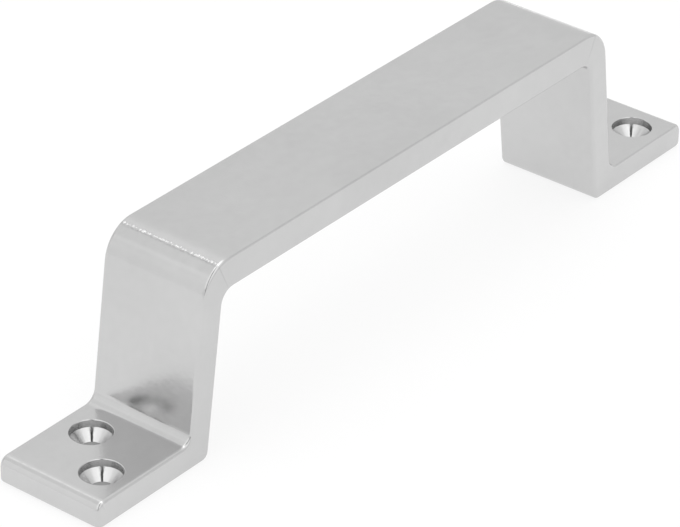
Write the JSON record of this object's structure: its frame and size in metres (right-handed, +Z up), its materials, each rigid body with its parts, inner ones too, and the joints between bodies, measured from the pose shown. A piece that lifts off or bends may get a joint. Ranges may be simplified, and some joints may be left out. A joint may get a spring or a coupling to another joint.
{
  "type": "bridge pull handle",
  "caption": "One-piece thick-strip pull handle: a straight bar on two inward-leaning legs, with flat feet that hold recessed countersunk screw holes.",
  "frame": {"origin": "midway between the two foot ends, on the plane of the soles and on the strip's centre line", "axes": "+X along the handle towards the right foot, +Y across the strip towards its back edge, +Z up from the soles to the bar"},
  "size_m": [0.19, 0.025, 0.042],
  "materials": {
    "bare_metal": "satin, lightly tumbled"
  },
  "bodies": {
    "root": {"pull_handle": "bare_metal"}
  },
  "joints": []
}
